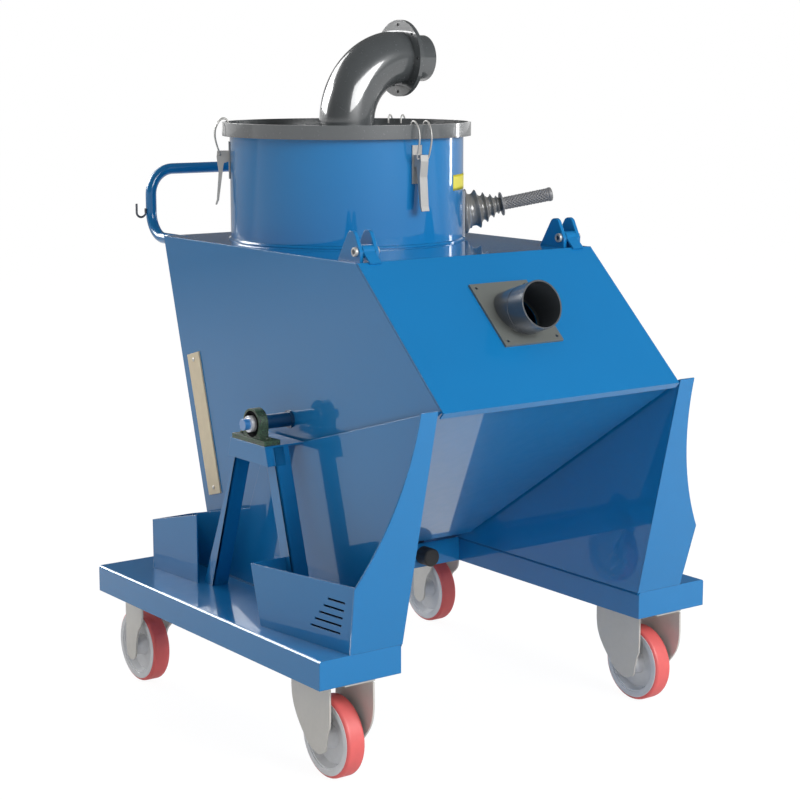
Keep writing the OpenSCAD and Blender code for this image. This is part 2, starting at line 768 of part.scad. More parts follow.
// Push handle: a bent tube that leaves the hopper's back, turns up and runs across
module push_handle() {
    post_x = handle_x;
    t = (top_z - handle_foot_z) / (top_z - floor_z);
    back_y = top_back + t * (floor_back - top_back);
    r = handle_bar_r;
    color("royalblue") {
        pair() difference() {
            union() {
                translate([post_x, back_y - 3 * r, handle_foot_z]) rotate([-90, 0, 0])
                    cylinder(r = r, h = handle_y - handle_r - back_y + 3 * r);
                translate([post_x, handle_y - handle_r, handle_foot_z + handle_r])
                    rotate([0, 90, 0]) rotate_extrude(angle = 90) translate([handle_r, 0]) circle(r = r);
                translate([post_x, handle_y, handle_foot_z + handle_r])
                    cylinder(r = r, h = handle_z - handle_foot_z - 2 * handle_r);
                translate([post_x - handle_r, handle_y, handle_z - handle_r]) rotate([90, 0, 0])
                    rotate_extrude(angle = 90) translate([handle_r, 0]) circle(r = r);
                translate([0, handle_y, handle_z]) rotate([0, 90, 0])
                    cylinder(r = r, h = post_x - handle_r);
            }
            side_plate(-over, post_x + 3 * r + over, hopper_side);
        }
    }
}

// Hose hook on the left handle post
module hose_hook() {
    hook_d = 6;
    hook_r = 14;
    hook_drop = 118;
    hook_z = handle_z - hook_drop;
    color("dimgray") translate([-handle_x - handle_bar_r - hook_d / 2 - seat_fit, handle_y, hook_z]) {
        translate([-hook_r, 0, 0]) rotate([90, 0, 0]) rotate([0, 0, 180])
            rotate_extrude(angle = 180) translate([hook_r, 0]) circle(d = hook_d);
        translate([-2 * hook_r, 0, 0]) cylinder(d = hook_d, h = 24);
        cylinder(d = hook_d, h = 10);
    }
}

// Level strip along the back edge of the hopper's left side
module level_strip() {
    inset_b = 32;
    strip_low = 167;
    along = (hopper_e - hopper_d) / norm(hopper_e - hopper_d);
    across = [-along.y, along.x];
    low = hopper_d + along * strip_low + across * inset_b;
    color("wheat") side_plate(-hopper_x - strip_t, strip_t, [
        low, low + along * strip_len, low + along * strip_len + across * strip_w, low + across * strip_w]);
}

// Places its children on the shaker's axis, x outwards along it from the drum's face
module on_shaker() {
    on_drum(shaker_z) rotate([0, 0, shaker_angle]) translate([drum_r, 0, 0])
        rotate([0, -shaker_tilt, 0]) children();
}

// Saddle that carries the shaker on the drum's side, with the ears of its pivot
module shaker_saddle() {
    w = boot_d + 8;
    plate_t = 6;
    foot_r = boot_d / 2 - 8;
    root = 24;
    ear_t = 6;
    ear_h = 24;
    ear_gap = 2 * rod_r + 1;
    pin_r = 4;
    color("gray") difference() {
        union() {
            intersection() {
                on_drum(shaker_z - w / 2) cylinder(r = drum_r + plate_t, h = w, $fn = 360);
                on_drum(shaker_z) rotate([0, 0, shaker_angle]) translate([drum_r / 2, -w / 2, -w / 2])
                    cube([drum_r, w, w]);
            }
            on_shaker() translate([-root, 0, 0]) rotate([0, 90, 0])
                cylinder(r = foot_r, h = root + saddle_out);
            on_shaker() for (s = [-1, 1])
                translate([saddle_out, s * (ear_gap + ear_t) / 2 - ear_t / 2, -ear_h / 2])
                    cube([ear_h, ear_t, ear_h]);
            on_shaker() translate([saddle_out + ear_h / 2 + 2, 0, 0]) rotate([90, 0, 0])
                cylinder(r = pin_r, h = ear_gap + 2 * ear_t, center = true);
        }
        on_drum(top_z - over) cylinder(r = drum_r + run_fit, h = drum_h + 2 * over, $fn = 360);
    }
}

// Ribbed rubber boot that tapers from the saddle to the lever
module shaker_boot() {
    pitch = (boot_len - 10) / boot_ribs;
    r0 = boot_d / 2;
    function edge(x) = r0 + (boot_tip_r - r0) * x / boot_len;
    ridge = 5;
    outer = [for (i = [0 : boot_ribs - 1]) each [
        [edge(6 + i * pitch), 6 + i * pitch],
        [edge(6 + i * pitch) + ridge, 6 + (i + 0.25) * pitch],
        [edge(6 + i * pitch) - ridge, 6 + (i + 0.7) * pitch]]];
    inner = [for (p = outer) [p.x - boot_t - 2, p.y]];
    color("dimgray") on_shaker() translate([saddle_out + seat_fit, 0, 0])
        rotate([0, 90, 0]) rotate_extrude() polygon(concat(
        [[r0 - 12, 0], [r0, 0], [r0, 4]], outer,
        [[boot_tip_r, boot_len - 4], [boot_tip_r, boot_len], [rod_r + seat_fit, boot_len],
            [rod_r + seat_fit, boot_len - 8]],
        [for (i = [len(inner) - 1 : -1 : 0]) inner[i]],
        [[r0 - 12, 4]]));
}

// Shaker lever: an eye on the pivot pin, a rod and a moulded grip
module shaker_lever() {
    pivot_x = saddle_out + 14;
    grip_x = saddle_out + boot_len + 6;
    eye_r = 11;
    color("darkgray") on_shaker() difference() {
        union() {
            translate([pivot_x, 0, 0]) rotate([90, 0, 0]) cylinder(r = eye_r, h = 2 * rod_r, center = true);
            translate([pivot_x, 0, 0]) rotate([0, 90, 0]) cylinder(r = rod_r, h = grip_x - pivot_x + 10);
            translate([grip_x, 0, 0]) rotate([0, 90, 0])
                cylinder(d1 = grip_d * 0.85, d2 = grip_d, h = grip_len - 8);
            translate([grip_x + grip_len - 8, 0, 0]) rotate([0, 90, 0]) cylinder(d = grip_d + 4, h = 8);
            translate([grip_x - 4, 0, 0]) rotate([0, 90, 0]) cylinder(d = grip_d + 8, h = 5);
        }
        translate([pivot_x, 0, 0]) rotate([90, 0, 0])
            cylinder(r = 4 + run_fit, h = 4 * rod_r, center = true);
    }
}

// Flap hinges: a pair of tall ears with a pin on each side of the deck
ear_t = 10;
knuckle_w = 34;
module hinge_ears() {
    eye = pin_d / 2 + 10;
    peak = 73;
    heel = 76;
    crown = 36;
    round_r = crown / 2;
    tip = [hinge_y + heel / 2 - round_r, top_z + peak - round_r];
    ear = concat([[hinge_y - eye, hinge_z], [hinge_y - eye, top_z], [hinge_y + heel, top_z]],
        arc(tip, round_r, 25, 155, 8));
    color("royalblue") pair() for (s = [-1, 1])
        side_plate(hinge_x + s * (knuckle_w / 2 + 1 + ear_t / 2) - ear_t / 2, ear_t, ear);
    color("silver") pair() {
        span = knuckle_w + 2 + 2 * ear_t;
        head_h = 5;
        translate([hinge_x, hinge_y, hinge_z]) rotate([0, 90, 0]) {
            cylinder(d = pin_d, h = span, center = true);
            for (s = [-1, 1]) translate([0, 0, s * (span + head_h) / 2])
                cylinder(d = pin_d + 8, h = head_h, center = true);
        }
    }
}

// Places its children on the closed flap, y up its slope from the deck's front edge, z out of it
module on_flap() {
    translate([0, -top_front, top_z]) rotate([flap_tilt, 0, 0]) children();
}

flap_low = 6;
flap_top = 4;
// A point on the closed flap's section: u up its slope from the deck's front edge, w out of it
function flap_pt(u, w) = [u * cos(flap_tilt) - w * sin(flap_tilt) - top_front,
    u * sin(flap_tilt) + w * cos(flap_tilt) + top_z];

// Flap over the hopper's mouth, with a lip folded down along its lower edge and a hole for the inlet
module flap() {
    low = -flap_len - flap_low;
    out = flap_gap + flap_t;
    color("dodgerblue") difference() {
        side_plate(-hopper_x, 2 * hopper_x, [
            flap_pt(-flap_top, out), flap_pt(low, out), flap_pt(low, out - lip_h),
            flap_pt(low + flap_t, out - lip_h), flap_pt(low + flap_t, flap_gap),
            flap_pt(-flap_top, flap_gap)]);
        inlet_axis() translate([0, 0, -inlet_len]) cylinder(d = inlet_d - 2 * duct_t, h = 2 * inlet_len);
    }
}

// Hinge knuckles with their straps to the flap
module hinge_knuckles() {
    strap_t = 5;
    strap_len = 12;
    knuckle_r = pin_d / 2 + 9;
    low = flap_gap + flap_t;
    reach = hinge_set * cos(flap_tilt) + hinge_h * sin(flap_tilt);
    color("royalblue") pair() translate([hinge_x - knuckle_w / 2, 0, 0]) rotate([90, 0, 90])
        linear_extrude(knuckle_w) difference() {
            union() {
                translate([hinge_y, hinge_z]) circle(r = knuckle_r);
                polygon([flap_pt(-strap_len, low), flap_pt(reach, low), flap_pt(reach, low + strap_t),
                    flap_pt(-strap_len, low + strap_t)]);
            }
            translate([hinge_y, hinge_z]) circle(d = pin_d + 2 * run_fit);
        }
}

// Places its children on the inlet's axis, z outwards from the middle of its plate
module inlet_axis() {
    on_flap() translate([0, inlet_at, flap_gap + flap_t])
        rotate([90 - inlet_tilt - flap_tilt, 0, 0]) children();
}

// Inlet: a square plate on the flap with a slanted spigot and a raised collar
module inlet_spigot() {
    hole_d = 8;
    hole_inset = 14;
    stop = 1;
    stop_z = 46;
    color("dimgray") difference() {
        union() {
            on_flap() translate([-inlet_plate_w / 2, inlet_at - inlet_plate_h / 2, flap_gap + flap_t])
                cube([inlet_plate_w, inlet_plate_h, inlet_plate_t]);
            intersection() {
                union() {
                    inlet_axis() translate([0, 0, -inlet_len]) cylinder(d = inlet_d, h = 2 * inlet_len);
                    inlet_axis() translate([0, 0, -inlet_len])
                        cylinder(d = inlet_d + 2 * stop, h = inlet_len + stop_z);
                }
                on_flap() translate([-inlet_plate_w / 2, -flap_len, flap_gap + flap_t])
                    cube([inlet_plate_w, flap_len, 2 * inlet_len]);
            }
        }
        inlet_axis() translate([0, 0, -2 * inlet_len])
            cylinder(d = inlet_d - 2 * duct_t, h = 4 * inlet_len);
        on_flap() for (sx = [-1, 1], sy = [-1, 1])
            translate([sx * (inlet_plate_w / 2 - hole_inset),
                inlet_at + sy * (inlet_plate_h / 2 - hole_inset), 0])
                cylinder(d = hole_d, h = 2 * over + inlet_plate_t + flap_gap + flap_t);
    }
}

left_tray();
right_tray();
cross_beam();
rest_pads();
buffers();
left_side_panel();
right_side_panel();
left_front_post();
right_front_post();
left_front_pocket();
right_front_pocket();
left_rear_pocket();
right_rear_pocket();
left_bearing_stand();
right_bearing_stand();
left_pillow_block();
right_pillow_block();
front_left_fork();
front_right_fork();
rear_left_fork();
rear_right_fork();
front_left_rim();
front_right_rim();
rear_left_rim();
rear_right_rim();
front_left_tyre();
front_right_tyre();
rear_left_tyre();
rear_right_tyre();
left_trunnion();
right_trunnion();
hopper_left_side();
hopper_right_side();
hopper_slope();
hopper_floor();
hopper_back();
hopper_top();
drum();
drum_lid();
outlet_foot();
outlet_elbow();
outlet_neck();
outlet_spigot();
drum_clips();
clip_bails();
push_handle();
hose_hook();
level_strip();
shaker_saddle();
shaker_boot();
shaker_lever();
hinge_ears();
flap();
hinge_knuckles();
inlet_spigot();
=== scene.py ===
# %% [markdown]
# # A wheeled cyclone separator, dressed for rendering
# The sheet-metal parts, wheels and ducts arrive from the CAD model as a fixed frame. This script gives
# them finishes, adds the parts that CAD solids show poorly, and sets up a photograph-like studio.
# Every length is in metres, in the same axes as the CAD: +Z up, -Y towards the inlet flap.

# %% Load the frame and its record
import json
import math

import bpy
import numpy as np
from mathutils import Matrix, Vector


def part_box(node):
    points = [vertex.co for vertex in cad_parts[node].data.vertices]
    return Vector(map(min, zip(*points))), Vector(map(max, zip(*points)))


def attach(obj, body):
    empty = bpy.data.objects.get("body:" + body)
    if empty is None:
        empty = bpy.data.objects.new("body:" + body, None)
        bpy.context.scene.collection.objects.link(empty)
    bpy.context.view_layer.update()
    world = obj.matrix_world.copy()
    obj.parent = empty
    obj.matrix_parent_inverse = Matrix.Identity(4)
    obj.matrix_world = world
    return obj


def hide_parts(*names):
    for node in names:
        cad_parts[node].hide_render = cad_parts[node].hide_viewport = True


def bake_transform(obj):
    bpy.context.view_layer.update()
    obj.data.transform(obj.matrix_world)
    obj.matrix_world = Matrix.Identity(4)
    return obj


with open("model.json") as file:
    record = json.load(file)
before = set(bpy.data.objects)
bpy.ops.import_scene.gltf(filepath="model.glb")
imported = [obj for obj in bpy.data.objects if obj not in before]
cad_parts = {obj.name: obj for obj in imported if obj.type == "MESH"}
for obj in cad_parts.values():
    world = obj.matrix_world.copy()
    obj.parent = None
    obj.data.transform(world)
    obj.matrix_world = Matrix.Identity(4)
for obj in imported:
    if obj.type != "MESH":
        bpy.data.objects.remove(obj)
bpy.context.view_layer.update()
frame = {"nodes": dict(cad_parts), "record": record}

# %% [markdown]
# ## The camera
# The photograph is taken with a long lens from front left, a little above the deck. Its place was solved
# from the corners of the trays, the hopper and the wheels, so the angles are kept as they came out. A
# camera looks down its own -Z, so a level view towards +Y is a quarter turn about X; the pitch and the yaw
# are then taken off that turn.

# %% Camera
PITCH_DOWN = math.radians(9.8871)
YAW_RIGHT = math.radians(36.2019)
camera_data = bpy.data.cameras.new("view")
camera_data.sensor_fit = "HORIZONTAL"
camera_data.sensor_width = 36.0
camera_data.lens = 87.64
camera_data.clip_end = 200.0
camera = bpy.data.objects.new("view", camera_data)
camera.location = (-2.9948, -4.1354, 1.6898)
camera.rotation_euler = (math.pi / 2 - PITCH_DOWN, 0.0, -YAW_RIGHT)
bpy.context.collection.objects.link(camera)
bpy.context.scene.camera = camera
bpy.context.scene.view_settings.view_transform = "Standard"
print("camera at", tuple(round(v, 3) for v in camera.location))

# %% [markdown]
# ## Shader maths as expressions
# A node tree is a formula, and a formula is easier to read as one line than as a dozen boxes. `Value` wraps
# the output socket of a node, so that `1 - mask * 0.3` adds the Math nodes by itself. `Recipe` holds one
# material: `node` adds any other node from its type, its settings and what goes into its sockets.


# %% Helper classes for materials
class Value:
    """An output socket that can be used in arithmetic; each operator adds one Math node."""

    def __init__(self, tree, socket):
        self.tree = tree
        self.socket = socket

    def math(self, operation, other, swap=False):
        node = self.tree.nodes.new("ShaderNodeMath")
        node.operation = operation
        pair = (other, self) if swap else (self, other)
        for slot, item in zip(node.inputs, pair):
            plug(self.tree, slot, item)
        return Value(self.tree, node.outputs[0])

    def __add__(self, other): return self.math("ADD", other)
    def __radd__(self, other): return self.math("ADD", other, True)
    def __sub__(self, other): return self.math("SUBTRACT", other)
    def __rsub__(self, other): return self.math("SUBTRACT", other, True)
    def __mul__(self, other): return self.math("MULTIPLY", other)
    def __rmul__(self, other): return self.math("MULTIPLY", other, True)
    def __gt__(self, other): return self.math("GREATER_THAN", other)
    def __lt__(self, other): return self.math("LESS_THAN", other)
    def __abs__(self): return self.math("ABSOLUTE", 0.0)


def plug(tree, slot, item):
    """Link a Value to an input socket, or set the socket to a plain number, colour or vector."""
    if isinstance(item, Value):
        tree.links.new(item.socket, slot)
    elif isinstance(item, tuple) and slot.type == "RGBA":
        slot.default_value = (*item, 1.0)
    else:
        slot.default_value = item


class Recipe:
    """One material built round a Principled shader."""

    def __init__(self, name, **constants):
        self.material = bpy.data.materials.new(name)
        self.material.use_nodes = True
        self.tree = self.material.node_tree
        self.tree.nodes.clear()
        self.shader = self.tree.nodes.new("ShaderNodeBsdfPrincipled")
        self.output = self.tree.nodes.new("ShaderNodeOutputMaterial")
        self.tree.links.new(self.shader.outputs[0], self.output.inputs[0])
        self.set(**{key.replace("_", " ").title().replace("Ior", "IOR"): v for key, v in constants.items()})
        self.place = self.node("TexCoord", out="Object")

    def set(self, **inputs):
        for key, item in inputs.items():
            plug(self.tree, self.shader.inputs[key], item)

    def node(self, kind, settings=None, inputs=None, out=0):
        node = self.tree.nodes.new("ShaderNode" + kind)
        for key, item in (settings or {}).items():
            setattr(node, key, item)
        for key, item in (inputs or {}).items():
            plug(self.tree, node.inputs[key], item)
        return Value(self.tree, node.outputs[out])

    def noise(self, scale, detail=2.0, rough=0.5):
        return self.node("TexNoise", None, {"Vector": self.place, "Scale": scale, "Detail": detail,
                                            "Roughness": rough})

    def axis(self, letter):
        return self.node("SeparateXYZ", None, {"Vector": self.place}, out="XYZ".index(letter))

    def mix(self, mask, first, second):
        return self.node("Mix", {"data_type": "RGBA"}, {0: mask, 6: first, 7: second}, out=2)

    def bump(self, height, distance, strength, normal):
        return self.node("Bump", None, {"Height": height, "Distance": distance, "Strength": strength,
                                        "Normal": normal})

    def soft_edge(self, radius):
        return self.node("Bevel", {"samples": 4}, {"Radius": radius})


def srgb(r, g, b):
    """A colour as it is read off a screen, 0 to 255, as the linear numbers that a shader takes."""
    c = np.array([r, g, b]) / 255.0
    return tuple(float(v) for v in np.where(c <= 0.04045, c / 12.92, ((c + 0.055) / 1.055) ** 2.4))


LACQUER_BLUE = srgb(17, 121, 184)
print("helpers ready; lacquer blue is", tuple(round(v, 3) for v in LACQUER_BLUE))

# %% [markdown]
# ## The blue lacquer
# The frame, hopper, drum and flap are sprayed with one glossy blue lacquer. A clear film over colour is what
# the Principled shader's coat models: the base carries the blue, and the coat mirrors the room with a little
# orange peel in it. Folded sheet has rounded edges that catch a thin line of light, so a Bevel node softens
# the normal there. The coat is even all over, so its numbers sit on the shader; only colour, roughness and
# the normal change over the surface.


# %% Blue lacquer
def lacquer(name, shade):
    r = Recipe(name, metallic=0.0, coat_weight=1.0, coat_roughness=0.025, coat_ior=1.42, ior=1.45,
               specular_ior_level=0.15)
    drift = r.noise(2.3, 2.0)
    peel = r.noise(170.0, 1.0)
    sag = r.noise(6.0, 1.0)
    thick_film = tuple(c * 0.9 for c in shade)
    r.set(**{"Base Color": r.mix(drift, thick_film, shade)})
    r.set(Roughness=0.26 + 0.1 * r.noise(31.0, 3.0))
    r.set(Normal=r.bump(peel * 0.5 + sag * 2.0, 0.00012, 0.6, r.soft_edge(0.003)))
    return r.material


blue_paint = lacquer("blue_lacquer", LACQUER_BLUE)
print("lacquer:", len(blue_paint.node_tree.nodes), "nodes")

# %% [markdown]
# ## Metals
# The caster forks are zinc plated, the clips and wires are drawn steel and the hose hook is dark steel. Plating
# has faint cloudy crystals and drawn wire has streaks: both are small changes of roughness. In a white studio a
# full metal would look like chrome, so the plated and drawn ones are only partly metallic, by their share.


# %% Metals
def metal(name, colour, rough, spread, grain, share=1.0):
    r = Recipe(name, metallic=share)
    cloud = r.noise(grain, 3.0, 0.6)
    r.set(**{"Base Color": r.mix(cloud, tuple(c * 0.9 for c in colour), colour)})
    r.set(Roughness=rough + spread * cloud)
    r.set(Normal=r.bump(r.noise(grain * 4.0, 2.0), 0.00003, 0.5, r.soft_edge(0.0008)))
    return r.material


zinc_steel = metal("zinc_plate", srgb(212, 209, 203), 0.34, 0.16, 70.0, share=0.25)
bright_steel = metal("drawn_wire_steel", srgb(176, 175, 172), 0.36, 0.14, 120.0, share=0.3)
dark_steel = metal("dark_steel", srgb(88, 90, 96), 0.28, 0.15, 90.0)
print("metals: 3")

# %% [markdown]
# ## Cast iron, rubbers and plastics
# The pillow blocks are painted sand castings: dark green, with flecks where the sand left pits. Rubber scatters
# light and shows a fine mould texture. The lid, the elbow and the ducts are glossy grey enamel. Each is one
# Principled shader whose roughness and bump come from noise at the size of the real texture.


# %% Casting, rubbers and plastics
def moulded(name, colour, rough, spread, grain, height, coat=0.0, gloss=0.5):
    r = Recipe(name, metallic=0.0, coat_weight=coat, coat_roughness=0.04, coat_ior=1.55,
               specular_ior_level=gloss)
    cloud = r.noise(grain * 0.12, 2.0)
    texture = r.noise(grain, 2.0, 0.6)
    r.set(**{"Base Color": r.mix(cloud, tuple(c * 0.85 for c in colour), colour)})
    r.set(Roughness=rough + spread * texture)
    r.set(Normal=r.bump(texture, height, 0.7, r.soft_edge(0.001)))
    return r.material


def casting(name, light, dark):
    r = Recipe(name, metallic=0.0)
    grit = r.noise(300.0, 3.0, 0.7)
    fleck = r.node("MapRange", None, {"Value": grit, "From Min": 0.44, "From Max": 0.6})
    r.set(**{"Base Color": r.mix(fleck, dark, light)})
    r.set(Roughness=0.4 + 0.3 * fleck)
    r.set(Normal=r.bump(grit, 0.0016, 0.8, r.soft_edge(0.0015)))
    return r.material


green_casting = casting("sand_casting", srgb(66, 108, 72), srgb(14, 30, 18))
black_rubber = moulded("black_rubber", srgb(38, 37, 37), 0.5, 0.2, 500.0, 0.0002)
grey_rubber = moulded("boot_rubber", srgb(126, 125, 123), 0.24, 0.1, 420.0, 0.0001, 0.6)
grip_plastic = moulded("grip_plastic", srgb(122, 122, 124), 0.4, 0.15, 380.0, 0.0001)
white_plastic = moulded("wheel_polyamide", srgb(232, 233, 235), 0.32, 0.12, 300.0, 0.00008)
red_tyre = moulded("tyre_polyurethane", srgb(242, 108, 106), 0.4, 0.16, 260.0, 0.00008)
cream_plastic = moulded("level_strip_plastic", srgb(240, 223, 189), 0.36, 0.12, 300.0, 0.00006)
grey_paint = moulded("saddle_paint", srgb(150, 154, 160), 0.34, 0.1, 260.0, 0.00006, 0.4)
grey_enamel = moulded("duct_enamel", srgb(82, 86, 88), 0.22, 0.08, 150.0, 0.00004, 1.0)
yellow_vinyl = moulded("yellow_vinyl", srgb(230, 219, 48), 0.3, 0.1, 300.0, 0.00003)
# Black for the bearing seals' own rubber, and painted shade on the plates behind the pockets' slots.
seal_black_and_slot_shade = moulded("seal_rubber_and_slot_shade", srgb(12, 13, 16), 0.7, 0.2, 300.0, 0.00005, gloss=0.03)
# Matt blue, darker than the lacquer, for the panels' foot welds: painted shade in the groove where they lie.
weld_blue_painted_shade = moulded("weld_blue_painted_shade", srgb(15, 96, 148), 0.6, 0.2, 300.0, 0.00005, gloss=0.1)
print("castings, rubbers and plastics: 12")

# %% [markdown]
# ## Two parts with more than one finish, one of them with painted shade
# The trunnion is one CAD solid, but on the real one a blue shaft carries a bright bearing ring. The sleeve
# between the bearing and the hopper gets a darker blue as painted shade for the shadow that falls there. How
# far a point stands out along X tells them apart. The inlet is one casting whose flat plate is warmer and
# lighter than the pipe. Distance from the flap's plane, a dot product with its normal, separates those.


# %% Trunnion and inlet finishes
RING_IN, RING_OUT = 0.4451, 0.4912


def trunnion_finish_and_shade():
    r = Recipe("trunnion_finish_and_shade", coat_roughness=0.04, coat_ior=1.6)
    out = abs(r.axis("X"))
    ring = (out > RING_IN) * (out < RING_OUT)
    # The sleeve's darker blue and thinner coat are painted shade, for the shadow between the bearing and the
    # hopper.
    shaded_sleeve = out < RING_IN
    shaft = r.mix(shaded_sleeve, srgb(52, 128, 196), srgb(8, 66, 108))
    r.set(**{"Base Color": r.mix(ring, shaft, srgb(226, 228, 232))})
    r.set(Roughness=0.24 + 0.1 * r.noise(90.0))
    r.set(**{"Coat Weight": 1.0 - ring - 0.7 * shaded_sleeve})
    r.set(Metallic=ring * 0.35)
    r.set(Normal=r.bump(r.noise(300.0), 0.00005, 0.5, r.soft_edge(0.001)))
    return r.material


FLAP_TOP, FLAP_FOOT = (0.0, -0.368, 1.217), (0.0, -0.704, 0.906)
FLAP_TILT = math.atan2(FLAP_TOP[2] - FLAP_FOOT[2], FLAP_TOP[1] - FLAP_FOOT[1])
FLAP_OUT = (0.0, -math.sin(FLAP_TILT), math.cos(FLAP_TILT))
INLET_PLATE_T = 0.0125


def inlet_finish():
    r = Recipe("inlet_finish", coat_weight=0.5, coat_roughness=0.06, coat_ior=1.5)
    rise = r.node("VectorMath", {"operation": "DOT_PRODUCT"}, {0: r.place, 1: FLAP_OUT}, out="Value")
    plate = rise < float(np.dot(FLAP_OUT, FLAP_TOP)) + INLET_PLATE_T
    cloud = r.noise(30.0, 2.0)
    pipe = r.mix(cloud, srgb(64, 68, 73), srgb(74, 79, 84))
    r.set(**{"Base Color": r.mix(plate, pipe, srgb(104, 108, 105))})
    r.set(Roughness=0.28 + 0.12 * r.noise(160.0))
    r.set(Normal=r.bump(r.noise(260.0), 0.00006, 0.5, r.soft_edge(0.0012)))
    return r.material


print("special finishes:", trunnion_finish_and_shade().name, inlet_finish().name)

# %% [markdown]
# ## Handing out the finishes
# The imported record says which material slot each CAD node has. One table from slot to material dresses all
# of them, and the two special parts are then set by name.

# %% Dress the CAD nodes
FINISH = {"blue_paint": blue_paint, "green_casting": green_casting, "black_rubber": black_rubber,
          "zinc_steel": zinc_steel, "white_plastic": white_plastic, "red_tyre": red_tyre,
          "bright_steel": bright_steel, "grey_plastic": grey_enamel, "dark_steel": dark_steel,
          "cream_plastic": cream_plastic, "grey_paint": grey_paint, "grey_rubber": grey_rubber,
          "grip_plastic": grip_plastic}
SPECIAL = {"left_trunnion": bpy.data.materials["trunnion_finish_and_shade"],
           "right_trunnion": bpy.data.materials["trunnion_finish_and_shade"],
           "inlet_spigot": bpy.data.materials["inlet_finish"]}
for part in frame["record"]["subparts"]:
    dressed = frame["nodes"][part["node"]]
    dressed.data.materials.clear()
    dressed.data.materials.append(SPECIAL.get(part["node"], FINISH[part["material_slot"]]))

# %% [markdown]
# ## Surfaces from arrays
# Most small parts are turned shapes, bent wires or bent plates. All three are grids of points: a profile
# carried round an axis, a circle carried along a path, or a function of two parameters. One function turns
# such a grid into a closed mesh, so each part only has to say where its points are.


# %% Mesh helpers
def skin(points, around=True, along=False, cap=False):
    """Vertices and faces of a grid points[u, v]: v closes on itself if around, u if along. With cap, the
    first and last rows are closed by fans to their mean points. Faces turn outwards when u runs along the
    axis and v turns right-handed about it."""
    nu, nv = points.shape[:2]
    u = np.arange(nu if along else nu - 1)[:, None]
    v = np.arange(nv if around else nv - 1)[None, :]
    u1, v1 = (u + 1) % nu, (v + 1) % nv
    quads = np.stack([u * nv + v, u * nv + v1, u1 * nv + v1, u1 * nv + v], -1).reshape(-1, 4).tolist()
    verts = points.reshape(-1, 3)
    if cap:
        ring = np.arange(nv)
        after = np.roll(ring, -1)
        low, high = nu * nv, nu * nv + 1
        verts = np.vstack([verts, points[0].mean(0), points[-1].mean(0)])
        quads += np.stack([after, ring, np.full(nv, low)], -1).tolist()
        quads += np.stack([(nu - 1) * nv + ring, (nu - 1) * nv + after, np.full(nv, high)], -1).tolist()
    return verts, quads


def join(*parts):
    """Several (vertices, faces) pairs as one."""
    starts = np.cumsum([0] + [len(p[0]) for p in parts])
    faces = [[int(i + s) for i in f] for (_, fs), s in zip(parts, starts) for f in fs]
    return np.vstack([p[0] for p in parts]), faces


def piece(name, shape, material, body=None, stands_for=None, sharp=35.0):
    """A finished object from a (vertices, faces) pair: smooth, with creases sharper than the angle."""
    verts, faces = shape
    mesh = bpy.data.meshes.new(name)
    mesh.from_pydata(np.asarray(verts).tolist(), [], faces)
    mesh.validate()
    mesh.polygons.foreach_set("use_smooth", np.ones(len(mesh.polygons), dtype=bool))
    mesh.set_sharp_from_angle(angle=math.radians(sharp))
    mesh.materials.append(material)
    made = bpy.data.objects.new(name, mesh)
    bpy.context.collection.objects.link(made)
    if stands_for:
        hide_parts(stands_for)
    if body:
        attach(made, body)
    print(name, len(mesh.vertices), "vertices")
    return made


def frame_of(axis):
    """Two unit vectors across an axis, so that across, over and axis are right-handed."""
    axis = np.asarray(axis, float) / np.linalg.norm(axis)
    helper = np.array([0.0, 0.0, 1.0]) if abs(axis[2]) < 0.9 else np.array([1.0, 0.0, 0.0])
    across = np.cross(helper, axis)
    across /= np.linalg.norm(across)
    return axis, across, np.cross(axis, across)


def turned(start, axis, t, r, sides=48, loop=False):
    """A profile turned round an axis: the point at start + t along the axis, r out from it at each angle.
    The ends are capped, or with loop the profile closes on itself into a ring."""
    axis, across, over = frame_of(axis)
    angle = np.arange(sides) * 2 * np.pi / sides
    out = np.cos(angle)[:, None] * across + np.sin(angle)[:, None] * over
    t, r = np.asarray(t, float), np.asarray(r, float)
    grid = np.asarray(start) + t[:, None, None] * axis + r[:, None, None] * out[None]
    return skin(grid, along=loop, cap=not loop)


def through(points, count):
    """A smooth path through points: Catmull-Rom, each stretch a cubic of its four nearest points."""
    p = np.asarray(points, float)
    p = np.vstack([2 * p[0] - p[1], p, 2 * p[-1] - p[-2]])
    s = np.linspace(0, len(p) - 3 - 1e-9, count)
    i = s.astype(int)
    f = (s - i)[:, None]
    a, b, c, d = p[i], p[i + 1], p[i + 2], p[i + 3]
    return 0.5 * (2 * b + (c - a) * f + (2 * a - 5 * b + 4 * c - d) * f**2 + (3 * b - a - 3 * c + d) * f**3)


def wire(path, radius, sides=12, lean=(0.5, 0.31, 0.81)):
    """A round wire: a circle carried along a path, square to it. lean is any direction that the path never
    takes, and fixes how the circle is turned."""
    path = np.asarray(path, float)
    along = np.gradient(path, axis=0)
    along /= np.linalg.norm(along, axis=1, keepdims=True)
    across = np.cross(along, np.asarray(lean))
    across /= np.linalg.norm(across, axis=1, keepdims=True)
    over = np.cross(along, across)
    angle = np.arange(sides) * 2 * np.pi / sides
    radius = np.broadcast_to(np.asarray(radius, float), len(path))
    grid = path[:, None] + radius[:, None, None] * (np.cos(angle)[None, :, None] * across[:, None]
                                                    + np.sin(angle)[None, :, None] * over[:, None])
    return skin(grid, cap=True)


def hex_bolt(at, axis, size):
    """A hex head with its top edge chamfered, on a washer. Six sides round the axis make the hexagon."""
    across_corners = 0.92 * size
    head = turned(at, axis, np.array([0.0, 0.55, 0.65]) * size, np.array([1, 1, 0.86]) * across_corners, 6)
    washer = turned(at, axis, np.array([-0.02, 0.14, 0.16]) * size, np.array([1.1, 1.1, 1.02]) * size, 24)
    return join(washer, head)


print("mesh helpers ready")
